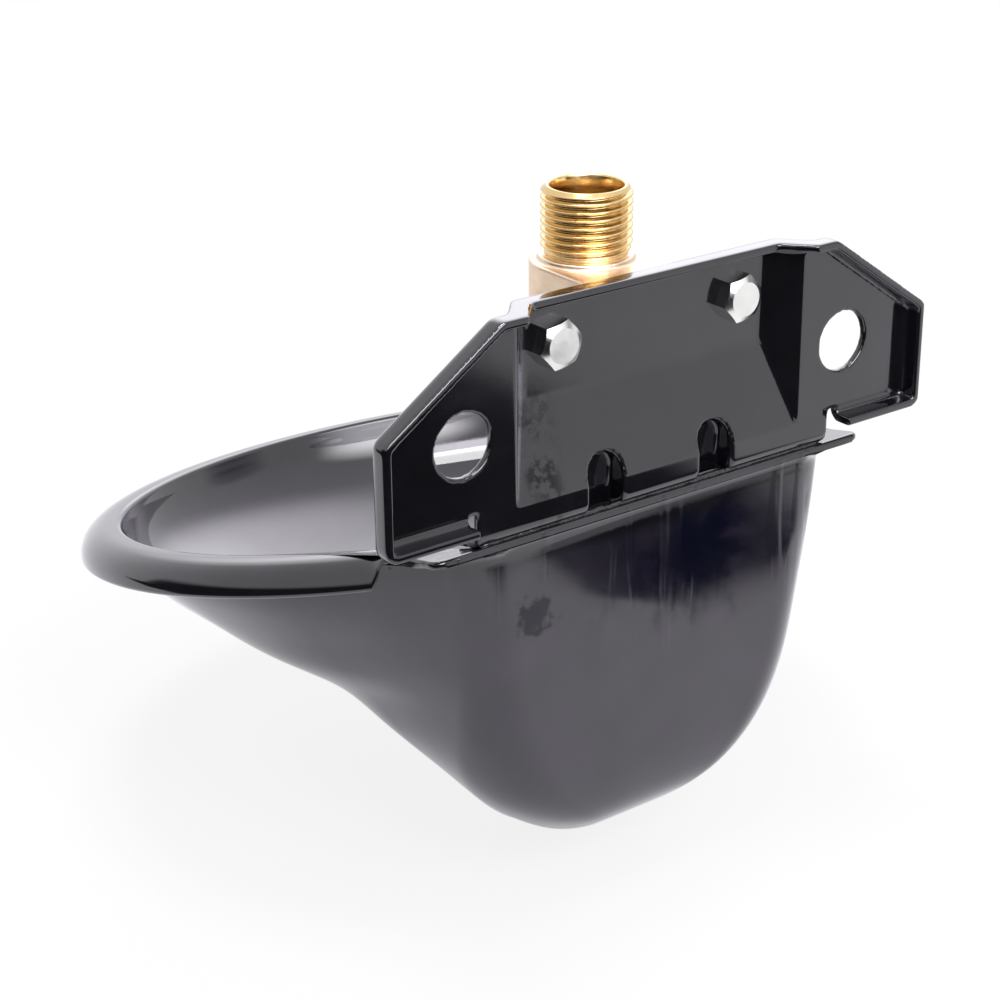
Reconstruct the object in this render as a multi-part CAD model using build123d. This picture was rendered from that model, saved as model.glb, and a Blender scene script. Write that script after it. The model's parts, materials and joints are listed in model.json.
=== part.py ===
from build123d import *
import os
from math import acos, atan2, cos, pi, radians, sin, sqrt, tan

# Wall-mounted livestock drinking bowl, millimetres.
# +X runs to the right seen from the front, +Y points at the wall, +Z up.
# Origin: midway between the two wall holes, on the rear faces of the bracket's wings.

# Sheet steel of bowl and bracket
SHEET = 2.0

# Bracket: outline of the folded plate
WING_HALF = 77.8
PLATE_TOP = 26.7
CHAMFER_SIDE_Z = 6.0
CHAMFER_TOP_X = 47.7
WING_BOTTOM = -20.0
FLANGE_REACH = 4.5
BEND = 3.0
WALL_HOLE_SPACING = 110.0
WALL_HOLE_RADIUS = 7.25

# Bracket: recess pressed forward between the wings
RECESS_DEPTH = 6.7
RECESS_HALF = 41.0
RECESS_WALL_RUN = 6.0
RECESS_RAMP_TOP = 2.5
RECESS_FOOT = -17.5
RECESS_ROUND = 2.0

# Bracket: foot bent forward over the bowl, with its stiffening gussets
FOOT_HALF = 51.5
FOOT_REACH = 8.0
FOOT_BEND = 3.0
NOTCH_WIDTH = 2.4
NOTCH_TOP = -16.6
GUSSET_SPACING = 32.0
GUSSET_RADIUS = 4.75
GUSSET_TOP = -11.4
GUSSET_DEPTH_TOP = 4.6
GUSSET_DEPTH_FOOT = 5.6
WELD_WIDTH = 2.6
WELD_HEIGHT = 1.8
WELD_HALF = 50.5

# Bowl: rim plane and rolled lip
RIM_Z = -24.6
RIM_SLOPE = 12.68
LIP_WIDTH = 9.0
LIP_DROP = 7.5
LIP_ROUND = 4.8
MOUTH_ROUND = 1.4
JOIN_ANGLE = 40.0
REAR_FLANGE_HALF = 62.8
REAR_FLANGE_CORNER = 3.0
SKIRT_END = -17.0
SKIRT_END_LEAN = 4.0

# Bowl: cuts of the pressed body parallel to the rim plane, from the mouth to the bottom
# depth, front edge, half width, side radius, rear wall, half width at the rear, corner radius
BODY_CUTS = [
    (0.0, -164.9, 87.4, 78.0, -0.3, 55.8, 12.0),
    (8.0, -163.1, 85.5, 77.2, -2.2, 55.6, 12.6),
    (16.0, -156.7, 80.6, 74.0, -4.0, 55.0, 13.1),
    (24.0, -144.4, 73.0, 68.5, -5.7, 53.8, 13.3),
    (32.0, -128.0, 65.4, 60.3, -7.5, 52.2, 12.9),
    (40.0, -107.6, 55.6, 49.0, -9.3, 50.6, 12.7),
    (50.0, -88.9, 48.8, 35.6, -11.6, 48.8, 13.2),
    (62.0, -73.0, 40.7, 25.5, -14.3, 44.2, 14.0),
    (72.0, -66.2, 32.2, 17.6, -17.2, 35.0, 12.9),
    (80.0, -65.5, 23.4, 12.8, -23.8, 23.3, 10.9),
    (87.0, -66.2, 13.2, 7.0, -38.8, 11.2, 6.9),
]
BOTTOM_ROUND = 4.0
INNER_BOTTOM_ROUND = 1.0

# Valve body, cast brass, on its own upright axis
VALVE_Y = -27.9
BODY_TOP = 24.0
BODY_RADIUS = 13.0
SKIRT_WALL = 4.0
SKIRT_TOP = 2.0
BODY_BOTTOM = -20.0
INLET_TOP = 41.1
INLET_RADIUS = 10.48
INLET_BORE = 8.4
INLET_CHAMFER = 1.3
COLLAR_RADIUS = 11.1
COLLAR_HEIGHT = 1.2
BOLT_SPACING = 52.4
BOLT_Z = 15.1
LUG_RADIUS = 7.0
LUG_THICKNESS = 7.5

# Bolts that clamp the valve body, M6
BOLT_RADIUS = 3.0
BOLT_LENGTH = 9.0
HEAD_FLATS = 10.0
HEAD_HEIGHT = 4.0
HEAD_TURN = 12.0
BOLT_CLEARANCE = 0.3
THREAD_CLEARANCE = 0.05

# Inside of the valve, from the inlet down
PLATE_LEDGE = 17.5
PLATE_THICKNESS = 1.5
PLATE_HOLE = 1.2
PLATE_HOLE_CIRCLE = 5.6
PLATE_BOSS = 0.8
STRAINER_HEIGHT = 6.0
STRAINER_WALL = 0.8
STRAINER_HOLE = 0.7
STRAINER_PITCH = 2.4
RING_HEIGHT = 1.2
RING_GROOVE = 0.6
RING_WIDTH = 1.3
RING_GAP = 3.0
CHAMBER_RADIUS = 7.6
WEB_TOP = 5.0
WEB_BOTTOM = -3.0
BUSH_RADIUS = 5.5
BUSH_FLANGE = 1.8
BUSH_FLANGE_RADIUS = 7.4
ORIFICE_RADIUS = 3.5
SEAT_HEIGHT = 0.8
SEAT_RADIUS = 4.6
SEAT_WIDTH = 0.8
O_RING_WIRE = 0.7
O_RING_Z = 1.0
FIT = 0.05
SEAL_RADIUS = 5.4
SEAL_THICKNESS = 2.5
SPIGOT_RADIUS = 1.5
NUT_FLATS = 7.0
NUT_HEIGHT = 2.4
SPRING_RADIUS = 3.1
SPRING_WIRE = 0.35
SPRING_TURNS = 3.5
GUIDE_BOTTOM = -4.5
GUIDE_WIDTH = 1.4
FOOT_ROD_RADIUS = 1.3
FOOT_ROD_GAP = 0.3

# Drinking tube and what holds it
HEAD_BOTTOM = -12.0
HEAD_SHOULDER = 2.2
HEAD_PLAY = 0.8
HEAD_THICKNESS = 3.0
NECK_LENGTH = 10.0
NECK_WALL = 1.2
NECK_FIT = 0.02
TUBE_RADIUS = 8.0
TUBE_WALL = 1.0
TUBE_END = -83.0
DISC_RADIUS = 7.5
DISC_THICKNESS = 1.5
DISC_SEAT = 1.0
DISC_HOLE = 1.3
DISC_HOLE_CIRCLE = 4.2
WASHER_THICKNESS = 1.0
TUBE_PLAY = 0.8
WASHER_PLAY = 0.2
SWING_ROOM = 2.4
RETAINER_HEIGHT = 6.0
RETAINER_CHAMFER = 0.8
GASKET_THICKNESS = 1.0
GASKET_INSET = 0.4

# Values that follow from those above
RIM_LEAN = radians(RIM_SLOPE)
RIM_PLANE = Plane(origin=(0, 0, RIM_Z), x_dir=(1, 0, 0), z_dir=(0, -sin(RIM_LEAN), cos(RIM_LEAN)))
RECESS_BACK = -RECESS_DEPTH
RECESS_FRONT = -RECESS_DEPTH - SHEET
PLATE_TOP_Z = PLATE_LEDGE + PLATE_THICKNESS
RING_LOW = PLATE_TOP_Z + STRAINER_HEIGHT
STEM_TOP = WEB_TOP + BUSH_FLANGE + SEAT_HEIGHT + FIT
SEAL_TOP = STEM_TOP + SEAL_THICKNESS
NUT_TOP = SEAL_TOP + NUT_HEIGHT
HEAD_TOP = HEAD_BOTTOM + HEAD_THICKNESS
DISC_TOP = HEAD_TOP - DISC_SEAT + DISC_THICKNESS
SHOULDER = HEAD_BOTTOM - WASHER_THICKNESS
NECK_RADIUS = TUBE_RADIUS - TUBE_WALL - NECK_FIT
GASKET_LOW = BODY_BOTTOM - GASKET_THICKNESS
HEAD_RADIUS = TUBE_RADIUS + HEAD_SHOULDER
SOCKET_RADIUS = HEAD_RADIUS + HEAD_PLAY
WASHER_BORE = TUBE_RADIUS + TUBE_PLAY
WASHER_RADIUS = SOCKET_RADIUS - WASHER_PLAY
NUT_BORE_BOTTOM = TUBE_RADIUS + SWING_ROOM
SKIRT_RADIUS = SOCKET_RADIUS + SKIRT_WALL
GASKET_RADIUS = SKIRT_RADIUS - GASKET_INSET
RETAINER_FLATS = 2 * SKIRT_RADIUS


def at_valve(part, z=0.0):
    """Moves a turned piece from its own axis to the valve's upright axis."""
    return Pos(0, VALVE_Y, z) * part


def rod(radius, low, high):
    """Solid round bar about Z between two heights."""
    return Pos(0, 0, low) * Cylinder(radius, high - low, align=(Align.CENTER, Align.CENTER, Align.MIN))


def ring(outer, inner, low, high):
    """Washer or tube about Z between two heights."""
    return rod(outer, low, high) - rod(inner, low - 1, high + 1)


def hexagon(flats, low, high, turn=0.0):
    """Hexagonal bar about Z between two heights."""
    outline = Rot(0, 0, turn) * RegularPolygon(flats / 2, 6, major_radius=False)
    return Pos(0, 0, low) * extrude(outline, high - low)


# Bowl


def body_outline(front, side, side_arc, rear, rear_half, corner):
    """Closed cut of the bowl: round front, straight flanks and a flat rear wall with round corners."""
    turn = radians(JOIN_ANGLE)
    offset = side - side_arc
    spread = offset / sin(turn)
    side_v = front + side_arc + spread - spread * cos(turn)
    corner_u, corner_v = rear_half - corner, rear - corner
    heading = atan2(corner_v - side_v, corner_u - offset)
    apart = sqrt((corner_u - offset) ** 2 + (corner_v - side_v) ** 2)
    normal = heading - acos((side_arc - corner) / apart)

    def on_side(angle):
        return (offset + side_arc * cos(angle), side_v + side_arc * sin(angle))

    def on_corner(angle):
        return (corner_u + corner * cos(angle), corner_v + corner * sin(angle))

    start = turn - pi / 2
    flank = [on_side(start), on_side((start + normal) / 2), on_side(normal)]
    bend = [on_corner(normal), on_corner((normal + pi / 2) / 2), on_corner(pi / 2)]
    edges = [ThreePointArc(mirrored(flank[0]), (0, front), flank[0])]
    edges += [ThreePointArc(*flank), Line(flank[2], bend[0]), ThreePointArc(*bend)]
    edges += [Line(bend[2], mirrored(bend[2]))]
    edges += [ThreePointArc(*[mirrored(p) for p in reversed(bend)])]
    edges += [Line(mirrored(bend[0]), mirrored(flank[2]))]
    edges += [ThreePointArc(*[mirrored(p) for p in reversed(flank)])]
    return make_face(edges)


def mirrored(point):
    return (-point[0], point[1])


def inner_cut(index):
    """The cut of the bowl's inside at the depth of an outer cut, one sheet thickness in from it."""
    above = BODY_CUTS[max(index - 1, 0)]
    below = BODY_CUTS[min(index + 1, len(BODY_CUTS) - 1)]
    depth, front, side, side_arc, rear, rear_half, corner = BODY_CUTS[index]

    def inset(column):
        slope = (below[column] - above[column]) / (below[0] - above[0])
        return SHEET * sqrt(1 + slope ** 2)

    front_in, side_in, rear_in, half_in = inset(1), inset(2), inset(4), inset(5)
    return (front + front_in, side - side_in, side_arc - SHEET, rear - rear_in,
            rear_half - half_in, corner - SHEET)


def body_block():
    """The pressed body as a full block, its bottom edge rounded."""
    cuts = [Pos(0, 0, -cut[0]) * body_outline(*cut[1:]) for cut in BODY_CUTS]
    block = loft(cuts)
    return fillet(block.faces().sort_by(Axis.Z)[0].edges(), BOTTOM_ROUND)


def body_hollow():
    """The inside of the body, open past the mouth."""
    depths = [cut[0] for cut in BODY_CUTS]
    depths[-1] -= SHEET
    cuts = [Pos(0, 0, -depth) * body_outline(*inner_cut(i)) for i, depth in enumerate(depths)]
    hollow = loft(cuts)
    hollow = fillet(hollow.faces().sort_by(Axis.Z)[0].edges(), INNER_BOTTOM_ROUND)
    return hollow + mouth_collar()


def mouth_collar():
    """The opening at the rim plane with its edge flared, and the open space above."""
    span = 6 * WING_HALF
    collar = extrude(body_outline(*inner_cut(0)), -MOUTH_ROUND - FIT)
    collar += extrude(Rectangle(span, span), LIP_DROP)
    level = collar.edges().filter_by_position(Axis.Z, -FIT, FIT)
    mouth = [edge for edge in level if edge.position_at(0.5).length < span / 2]
    return fillet(mouth, MOUTH_ROUND)


def rim_outline(inset):
    """Outline of the rim: the lip round the front and sides, the flat flange behind."""
    depth, front, side, side_arc, rear, rear_half, corner = BODY_CUTS[0]
    turn = radians(JOIN_ANGLE)
    offset = side - side_arc
    spread = offset / sin(turn)
    side_v = front + side_arc + spread - spread * cos(turn)
    lip_arc = side_arc + LIP_WIDTH - inset
    nose = (0, front - LIP_WIDTH + inset)
    join = (offset + lip_arc * sin(turn), side_v - lip_arc * cos(turn))
    widest = (offset + lip_arc, side_v)
    flange_u = REAR_FLANGE_HALF - inset
    meet = (flange_u, side_v + sqrt(lip_arc ** 2 - (flange_u - offset) ** 2))
    rear_corner = (flange_u, -inset)
    edges = [ThreePointArc(mirrored(join), nose, join), ThreePointArc(join, widest, meet)]
    edges += [Line(meet, rear_corner), Line(rear_corner, mirrored(rear_corner))]
    edges += [Line(mirrored(rear_corner), mirrored(meet))]
    edges += [ThreePointArc(mirrored(meet), mirrored(widest), mirrored(join))]
    return make_face(edges)


def rounded_lip(block, level, radius):
    """Rounds the curved upper edges of a rim block, not those of the flat flange."""
    top = block.edges().filter_by_position(Axis.Z, level - 0.01, level + 0.01)
    return fillet(top.filter_by(GeomType.CIRCLE), radius)


def skirt_cutaway():
    """All that lies below the flat flange behind the slanting ends of the skirt."""
    deep = -2 * LIP_DROP
    side = [(SKIRT_END, -SHEET), (SKIRT_END - SKIRT_END_LEAN, deep), (WING_HALF, deep), (WING_HALF, -SHEET)]
    outline = Plane.YZ.offset(-2 * WING_HALF) * make_face(Polyline(side, close=True))
    return extrude(outline, 4 * WING_HALF)


def make_bowl():
    """One pressing: deep rear pocket, shallow front, and a rim that rolls over into a skirt."""
    block = body_block()
    rim = rounded_lip(extrude(rim_outline(0), -LIP_DROP), 0, LIP_ROUND)
    rear_corners = rim.edges().filter_by(Axis.Z).sort_by(Axis.Y)[-2:]
    rim = fillet(rear_corners, REAR_FLANGE_CORNER)
    under = Pos(0, 0, -SHEET) * extrude(rim_outline(SHEET), -LIP_DROP)
    under = rounded_lip(under, -SHEET, LIP_ROUND - SHEET)
    skirt = rim - under - skirt_cutaway()
    return RIM_PLANE.location * (skirt + block - body_hollow())


# Bracket


def slab(outline, y_front, y_rear):
    """Solid between two planes square to Y, from an outline drawn in X and Z."""
    return extrude(Plane.XZ.offset(-y_rear) * outline, y_rear - y_front)


def plate_outline():
    """Outer contour of the bracket: two wings with sloping shoulders."""
    right = [(WING_HALF, WING_BOTTOM), (WING_HALF, CHAMFER_SIDE_Z), (CHAMFER_TOP_X, PLATE_TOP)]
    face = make_face(Polyline(right + [mirrored(p) for p in reversed(right)], close=True))
    return fillet(face.vertices(), BEND)


def front_edges(block):
    """Edges of the face of a block that lies furthest forward."""
    return block.faces().sort_by(Axis.Y)[0].edges()


def folded_block(inset, y_front, radius):
    """Block behind one face of the folded plate, its bend rounded."""
    outline = offset(plate_outline(), amount=-inset) if inset else plate_outline()
    block = slab(outline, y_front, FLANGE_REACH + (SHEET if inset else 0))
    return fillet(front_edges(block), radius)


def recess_wedge(grow, y_front, y_rear):
    """The pressed recess as a wedge with sloping walls, grown square to its faces."""
    wall = RECESS_WALL_RUN / RECESS_DEPTH
    ramp = (RECESS_RAMP_TOP - RECESS_FOOT) / RECESS_DEPTH

    def cut(y):
        half = RECESS_HALF + wall * y + grow * sqrt(1 + wall ** 2)
        foot = RECESS_FOOT - ramp * y - grow * sqrt(1 + ramp ** 2)
        top = PLATE_TOP + 2 * RECESS_DEPTH
        corners = [(-half, foot), (half, foot), (half, top), (-half, top)]
        return Plane.XZ.offset(-y) * make_face(Polyline(corners, close=True))

    return loft([cut(y_front), cut(y_rear)], ruled=True)


def rounded_wedge(grow, y_front, y_rear, radius):
    """The wedge with the edges of its floor rounded, apart from the open top."""
    wedge = recess_wedge(grow, y_front, y_rear)
    floor = front_edges(wedge).sort_by(Axis.Z)[:-1]
    return fillet(floor, radius)


def foot_profile():
    """Cross-section of the foot: down the plate, round the bend and forward on the bowl's flange."""
    lean_y, lean_z = sin(RIM_LEAN), cos(RIM_LEAN)
    centre_z = RIM_Z + FOOT_BEND / lean_z - FOOT_BEND * tan(RIM_LEAN)
    top = WING_BOTTOM + BEND + SHEET

    def bend_point(radius, share):
        angle = share * (pi / 2 - RIM_LEAN)
        return (-FOOT_BEND + radius * cos(angle), centre_z - radius * sin(angle))

    inner = FOOT_BEND - SHEET
    end = (-FOOT_REACH * lean_z, RIM_Z - FOOT_REACH * lean_y)
    end_top = (end[0] - SHEET * lean_y, end[1] + SHEET * lean_z)
    edges = [Line((0, top), bend_point(FOOT_BEND, 0))]
    edges += [ThreePointArc(*[bend_point(FOOT_BEND, share) for share in (0, 0.5, 1)])]
    edges += [Polyline([bend_point(FOOT_BEND, 1), end, end_top, bend_point(inner, 1)])]
    edges += [ThreePointArc(*[bend_point(inner, share) for share in (1, 0.5, 0)])]
    edges += [Polyline([bend_point(inner, 0), (-SHEET, top), (0, top)])]
    return make_face([e for part in edges for e in part.edges()])


def across(outline, half):
    """Bar along X from an outline drawn in Y and Z."""
    return extrude(Plane.YZ.offset(-half) * outline, 2 * half)


def gusset(x, grow):
    """Arched dimple over the foot's bend, deeper towards the foot."""
    radius = GUSSET_RADIUS + grow
    centre_z = GUSSET_TOP - GUSSET_RADIUS
    deep = RIM_Z - FOOT_REACH
    arch = Pos(x, centre_z) * Circle(radius)
    arch += Pos(x, (centre_z + deep) / 2) * Rectangle(2 * radius, centre_z - deep)
    slope = (GUSSET_DEPTH_FOOT - GUSSET_DEPTH_TOP) / (GUSSET_TOP - RIM_Z)
    floor_top = GUSSET_DEPTH_TOP + grow * sqrt(1 + slope ** 2)
    high, low = GUSSET_TOP + FOOT_REACH, deep - FOOT_REACH
    behind = [(SHEET, high), (-floor_top + slope * (high - GUSSET_TOP), high),
              (-floor_top + slope * (low - GUSSET_TOP), low), (SHEET, low)]
    block = slab(arch, -4 * GUSSET_RADIUS, 0)
    return block & across(make_face(Polyline(behind, close=True)), WING_HALF)


def foot_corner():
    """The space in front of the plate and above the foot's flange, where gussets may stand."""
    lean_y, lean_z = sin(RIM_LEAN), cos(RIM_LEAN)
    end = (-FOOT_REACH * lean_z, RIM_Z - FOOT_REACH * lean_y)
    corners = [(-SHEET / 2, RIM_Z), end, (end[0], 0), (-SHEET / 2, 0)]
    return across(make_face(Polyline(corners, close=True)), FOOT_HALF)


def notch_zone(y_front, y_rear, x_inner):
    """Both ends of the foot from a given half width out to the far side of the notches."""
    outer = FOOT_HALF + NOTCH_WIDTH
    middle = (x_inner + outer) / 2
    low = WING_BOTTOM - SHEET
    side = Pos(middle, (low + NOTCH_TOP) / 2) * Rectangle(outer - x_inner, NOTCH_TOP - low)
    return slab(side + mirror(side, Plane.YZ), y_front, y_rear)


def make_bracket():
    """One folded sheet: flanged wings, pressed recess for the valve, foot for the bowl."""
    block = folded_block(0, -SHEET, BEND)
    recessed = folded_block(0, RECESS_FRONT, BEND)
    block += rounded_wedge(SHEET, RECESS_FRONT, FLANGE_REACH, RECESS_ROUND + SHEET) & recessed
    block += across(foot_profile(), FOOT_HALF)
    for x in (-GUSSET_SPACING / 2, GUSSET_SPACING / 2):
        block += gusset(x, SHEET) & foot_corner()
    hollow = folded_block(SHEET, 0, BEND - SHEET)
    recess = rounded_wedge(0, RECESS_BACK, SHEET, RECESS_ROUND)
    hollow += recess & folded_block(SHEET, RECESS_BACK, BEND - SHEET)
    rear = Pos(0, FLANGE_REACH, 0) * recess_wedge(0, RECESS_BACK, 4 * SHEET)
    bracket = block - hollow - rear
    bracket -= notch_zone(0, FLANGE_REACH + SHEET, 0)
    bracket -= notch_zone(-2 * SHEET, FLANGE_REACH, FOOT_HALF)
    for x in (-GUSSET_SPACING / 2, GUSSET_SPACING / 2):
        bracket -= gusset(x, 0)
    holes = Circle(WALL_HOLE_RADIUS)
    for x in (-WALL_HOLE_SPACING / 2, WALL_HOLE_SPACING / 2):
        bracket -= slab(Pos(x, 0) * holes, -2 * SHEET, SHEET)
    for x in (-BOLT_SPACING / 2, BOLT_SPACING / 2):
        bolt_hole = Pos(x, BOLT_Z) * Circle(BOLT_RADIUS + BOLT_CLEARANCE)
        bracket -= slab(bolt_hole, RECESS_FRONT - SHEET, RECESS_BACK + SHEET)
    return bracket


def make_welds(bracket):
    """Bead in the groove between the foot's bend and the bowl's rear flange."""
    lean = Plane(origin=(0, 0, RIM_Z), x_dir=(0, cos(RIM_LEAN), sin(RIM_LEAN)), z_dir=(1, 0, 0))
    groove = [(0, 0), (-WELD_WIDTH, 0), (-WELD_WIDTH / 2, WELD_HEIGHT), (0, WELD_HEIGHT / 2)]
    bead = extrude(lean.offset(-WELD_HALF) * make_face(Polyline(groove, close=True)), 2 * WELD_HALF)
    return bead - bracket


# Valve body and its bolts


def make_valve_body():
    """Brass casting: threaded inlet, round-nosed block, two lugs and a skirt for the retaining nut."""
    nose = Pos(0, VALVE_Y) * Circle(BODY_RADIUS)
    block_rear = Pos(0, (VALVE_Y + RECESS_FRONT) / 2) * Rectangle(2 * BODY_RADIUS, RECESS_FRONT - VALVE_Y)
    body = Pos(0, 0, SKIRT_TOP) * extrude(nose + block_rear, BODY_TOP - SKIRT_TOP)
    lug = make_hull([*(Pos(-BOLT_SPACING / 2, BOLT_Z) * Circle(LUG_RADIUS)).edges(),
                     *(Pos(BOLT_SPACING / 2, BOLT_Z) * Circle(LUG_RADIUS)).edges()])
    body += slab(lug, RECESS_FRONT - LUG_THICKNESS, RECESS_FRONT)
    body += at_valve(rod(SKIRT_RADIUS, BODY_BOTTOM, SKIRT_TOP + SHEET))
    inlet = rod(INLET_RADIUS, BODY_TOP, INLET_TOP)
    inlet = chamfer(inlet.faces().sort_by(Axis.Z)[-1].edges(), INLET_CHAMFER)
    body += at_valve(inlet + rod(COLLAR_RADIUS, BODY_TOP, BODY_TOP + COLLAR_HEIGHT))
    bore = rod(INLET_BORE, PLATE_LEDGE, INLET_TOP + 1)
    bore += rod(INLET_BORE + RING_GROOVE, RING_LOW, RING_LOW + RING_HEIGHT)
    bore += rod(CHAMBER_RADIUS, WEB_TOP, PLATE_LEDGE + 1)
    bore += rod(BUSH_RADIUS, WEB_BOTTOM - 1, WEB_TOP + 1)
    bore += rod(SOCKET_RADIUS, BODY_BOTTOM - 1, WEB_BOTTOM)
    body -= at_valve(bore)
    for x in (-BOLT_SPACING / 2, BOLT_SPACING / 2):
        tapped = Pos(x, BOLT_Z) * Circle(BOLT_RADIUS + THREAD_CLEARANCE)
        body -= slab(tapped, RECESS_FRONT - LUG_THICKNESS - 1, RECESS_FRONT + 1)
    return body


def make_valve_bolts():
    """Two hexagon bolts from the wall side through the recess into the lugs."""
    bolts = []
    for x, turn in ((-BOLT_SPACING / 2, HEAD_TURN), (BOLT_SPACING / 2, HEAD_TURN)):
        head = hexagon(HEAD_FLATS, 0, HEAD_HEIGHT, turn)
        cone = Pos(0, 0, HEAD_HEIGHT) * Cone(HEAD_FLATS, HEAD_FLATS * 0.4, HEAD_FLATS * 0.6 * tan(radians(30)),
                                             align=(Align.CENTER, Align.CENTER, Align.MAX))
        head = head & (cone + rod(HEAD_FLATS, -1, HEAD_HEIGHT / 2))
        bolt = head + rod(BOLT_RADIUS, -BOLT_LENGTH, 0)
        bolts.append(Pos(x, RECESS_BACK, BOLT_Z) * Rot(-90, 0, 0) * bolt)
    return Compound(children=bolts)


# Strainer and spring plate in the inlet


def drilled(piece, radius, circle, count, low, high):
    """The piece less a circle of upright drillings."""
    for place in PolarLocations(circle, count).locations:
        piece -= place * rod(radius, low - 1, high + 1)
    return piece


def make_spring_plate():
    """Perforated plate on the ledge of the inlet bore, with a boss that centres the spring."""
    plate = rod(INLET_BORE - FIT, PLATE_LEDGE, PLATE_TOP_Z)
    plate += rod(SPRING_RADIUS - SPRING_WIRE - FIT, PLATE_LEDGE - PLATE_BOSS, PLATE_LEDGE)
    return at_valve(drilled(plate, PLATE_HOLE, PLATE_HOLE_CIRCLE, 6, PLATE_LEDGE, PLATE_TOP_Z))


def make_inlet_strainer():
    """Cup with a perforated floor."""
    cup = rod(INLET_BORE - FIT, PLATE_TOP_Z, RING_LOW)
    cup -= rod(INLET_BORE - FIT - STRAINER_WALL, PLATE_TOP_Z + STRAINER_WALL, RING_LOW + 1)
    cup -= rod(STRAINER_HOLE, PLATE_TOP_Z - 1, RING_LOW)
    for row in (1, 2):
        circle = row * STRAINER_PITCH
        cup = drilled(cup, STRAINER_HOLE, circle, 6 * row, PLATE_TOP_Z, PLATE_TOP_Z + STRAINER_WALL)
    return at_valve(cup)


def make_strainer_ring():
    """Split spring ring in the groove of the inlet bore."""
    outer = INLET_BORE + RING_GROOVE - FIT
    split = ring(outer, outer - RING_WIDTH, RING_LOW, RING_LOW + RING_HEIGHT - FIT)
    gap = Pos(outer, 0, RING_LOW) * Box(2 * RING_WIDTH + 1, RING_GAP, 2 * RING_HEIGHT)
    return at_valve(split - gap)


# Valve seat and plunger


def make_seat_bush():
    """Flanged bush with the raised seat and the orifice, grooved for its O-ring."""
    bush = rod(BUSH_RADIUS - FIT, WEB_BOTTOM, WEB_TOP + FIT)
    bush += rod(BUSH_FLANGE_RADIUS, WEB_TOP, WEB_TOP + BUSH_FLANGE)
    seat_low = WEB_TOP + BUSH_FLANGE
    bush += rod(SEAT_RADIUS, seat_low, seat_low + SEAT_HEIGHT)
    bush -= rod(SEAT_RADIUS - SEAT_WIDTH, seat_low, seat_low + SEAT_HEIGHT + 1)
    bush -= rod(ORIFICE_RADIUS, WEB_BOTTOM - 1, seat_low + 1)
    half = O_RING_WIRE + FIT
    depth = 2 * O_RING_WIRE + FIT
    groove = ring(BUSH_RADIUS, BUSH_RADIUS - FIT - depth, O_RING_Z - half, O_RING_Z + half)
    return at_valve(bush - groove)


def make_seat_o_ring():
    """Rubber ring between bush and body."""
    return at_valve(Torus(BUSH_RADIUS - FIT - O_RING_WIRE, O_RING_WIRE), O_RING_Z)


def make_valve_plunger():
    """Three-winged guide in the orifice, a rod down to the tube and a spigot up for the seal."""
    plunger = rod(FOOT_ROD_RADIUS, DISC_TOP + FOOT_ROD_GAP, STEM_TOP)
    for turn in (90, 210, 330):
        reach = ORIFICE_RADIUS - FIT
        wing = Pos(reach / 2, 0, GUIDE_BOTTOM) * Box(
            reach, GUIDE_WIDTH, STEM_TOP - GUIDE_BOTTOM, align=(Align.CENTER, Align.CENTER, Align.MIN))
        plunger += Rot(0, 0, turn) * wing & rod(reach, GUIDE_BOTTOM, STEM_TOP)
    return at_valve(plunger + rod(SPIGOT_RADIUS, STEM_TOP, NUT_TOP))


def make_plunger_seal():
    """Rubber washer that closes the seat."""
    return at_valve(ring(SEAL_RADIUS, SPIGOT_RADIUS + FIT, STEM_TOP, SEAL_TOP))


def make_seal_nut():
    """Small hexagon nut that clamps the seal on the plunger's spigot."""
    return at_valve(hexagon(NUT_FLATS, SEAL_TOP, NUT_TOP) - rod(SPIGOT_RADIUS + FIT, SEAL_TOP - 1, NUT_TOP + 1))


def make_return_spring():
    """Compression spring between the nut and the spring plate."""
    rise = PLATE_LEDGE - NUT_TOP - 2 * SPRING_WIRE
    path = Helix(pitch=rise / SPRING_TURNS, height=rise, radius=SPRING_RADIUS)
    section = Plane(origin=path @ 0, z_dir=path % 0) * Circle(SPRING_WIRE)
    return at_valve(sweep(section, path=path), NUT_TOP + SPRING_WIRE)


# Drinking tube and its retaining nut


def make_lift_disc():
    """Drilled disc in the tube's head that lifts the plunger."""
    disc = rod(DISC_RADIUS, HEAD_TOP - DISC_SEAT, DISC_TOP)
    return at_valve(drilled(disc, DISC_HOLE, DISC_HOLE_CIRCLE, 4, HEAD_TOP, DISC_TOP))


def make_tube_head():
    """Flanged head with a seat for the disc and a neck inside the tube."""
    head = rod(HEAD_RADIUS, HEAD_BOTTOM, HEAD_TOP)
    head += rod(NECK_RADIUS, HEAD_BOTTOM - NECK_LENGTH, HEAD_BOTTOM)
    head -= rod(DISC_RADIUS + NECK_FIT, HEAD_TOP - DISC_SEAT, HEAD_TOP + 1)
    return at_valve(head - rod(NECK_RADIUS - NECK_WALL, HEAD_BOTTOM - NECK_LENGTH - 1, HEAD_TOP))


def make_drinking_tube():
    """Plain tube that hangs into the bowl, its lower end rounded."""
    tube = ring(TUBE_RADIUS, TUBE_RADIUS - TUBE_WALL, TUBE_END, HEAD_BOTTOM)
    return at_valve(fillet(tube.faces().sort_by(Axis.Z)[0].edges(), TUBE_WALL * 0.4))


def make_slide_washer():
    """Flat washer on the nut's end, under the tube's head."""
    return at_valve(ring(WASHER_RADIUS, WASHER_BORE, SHOULDER, HEAD_BOTTOM))


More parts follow.
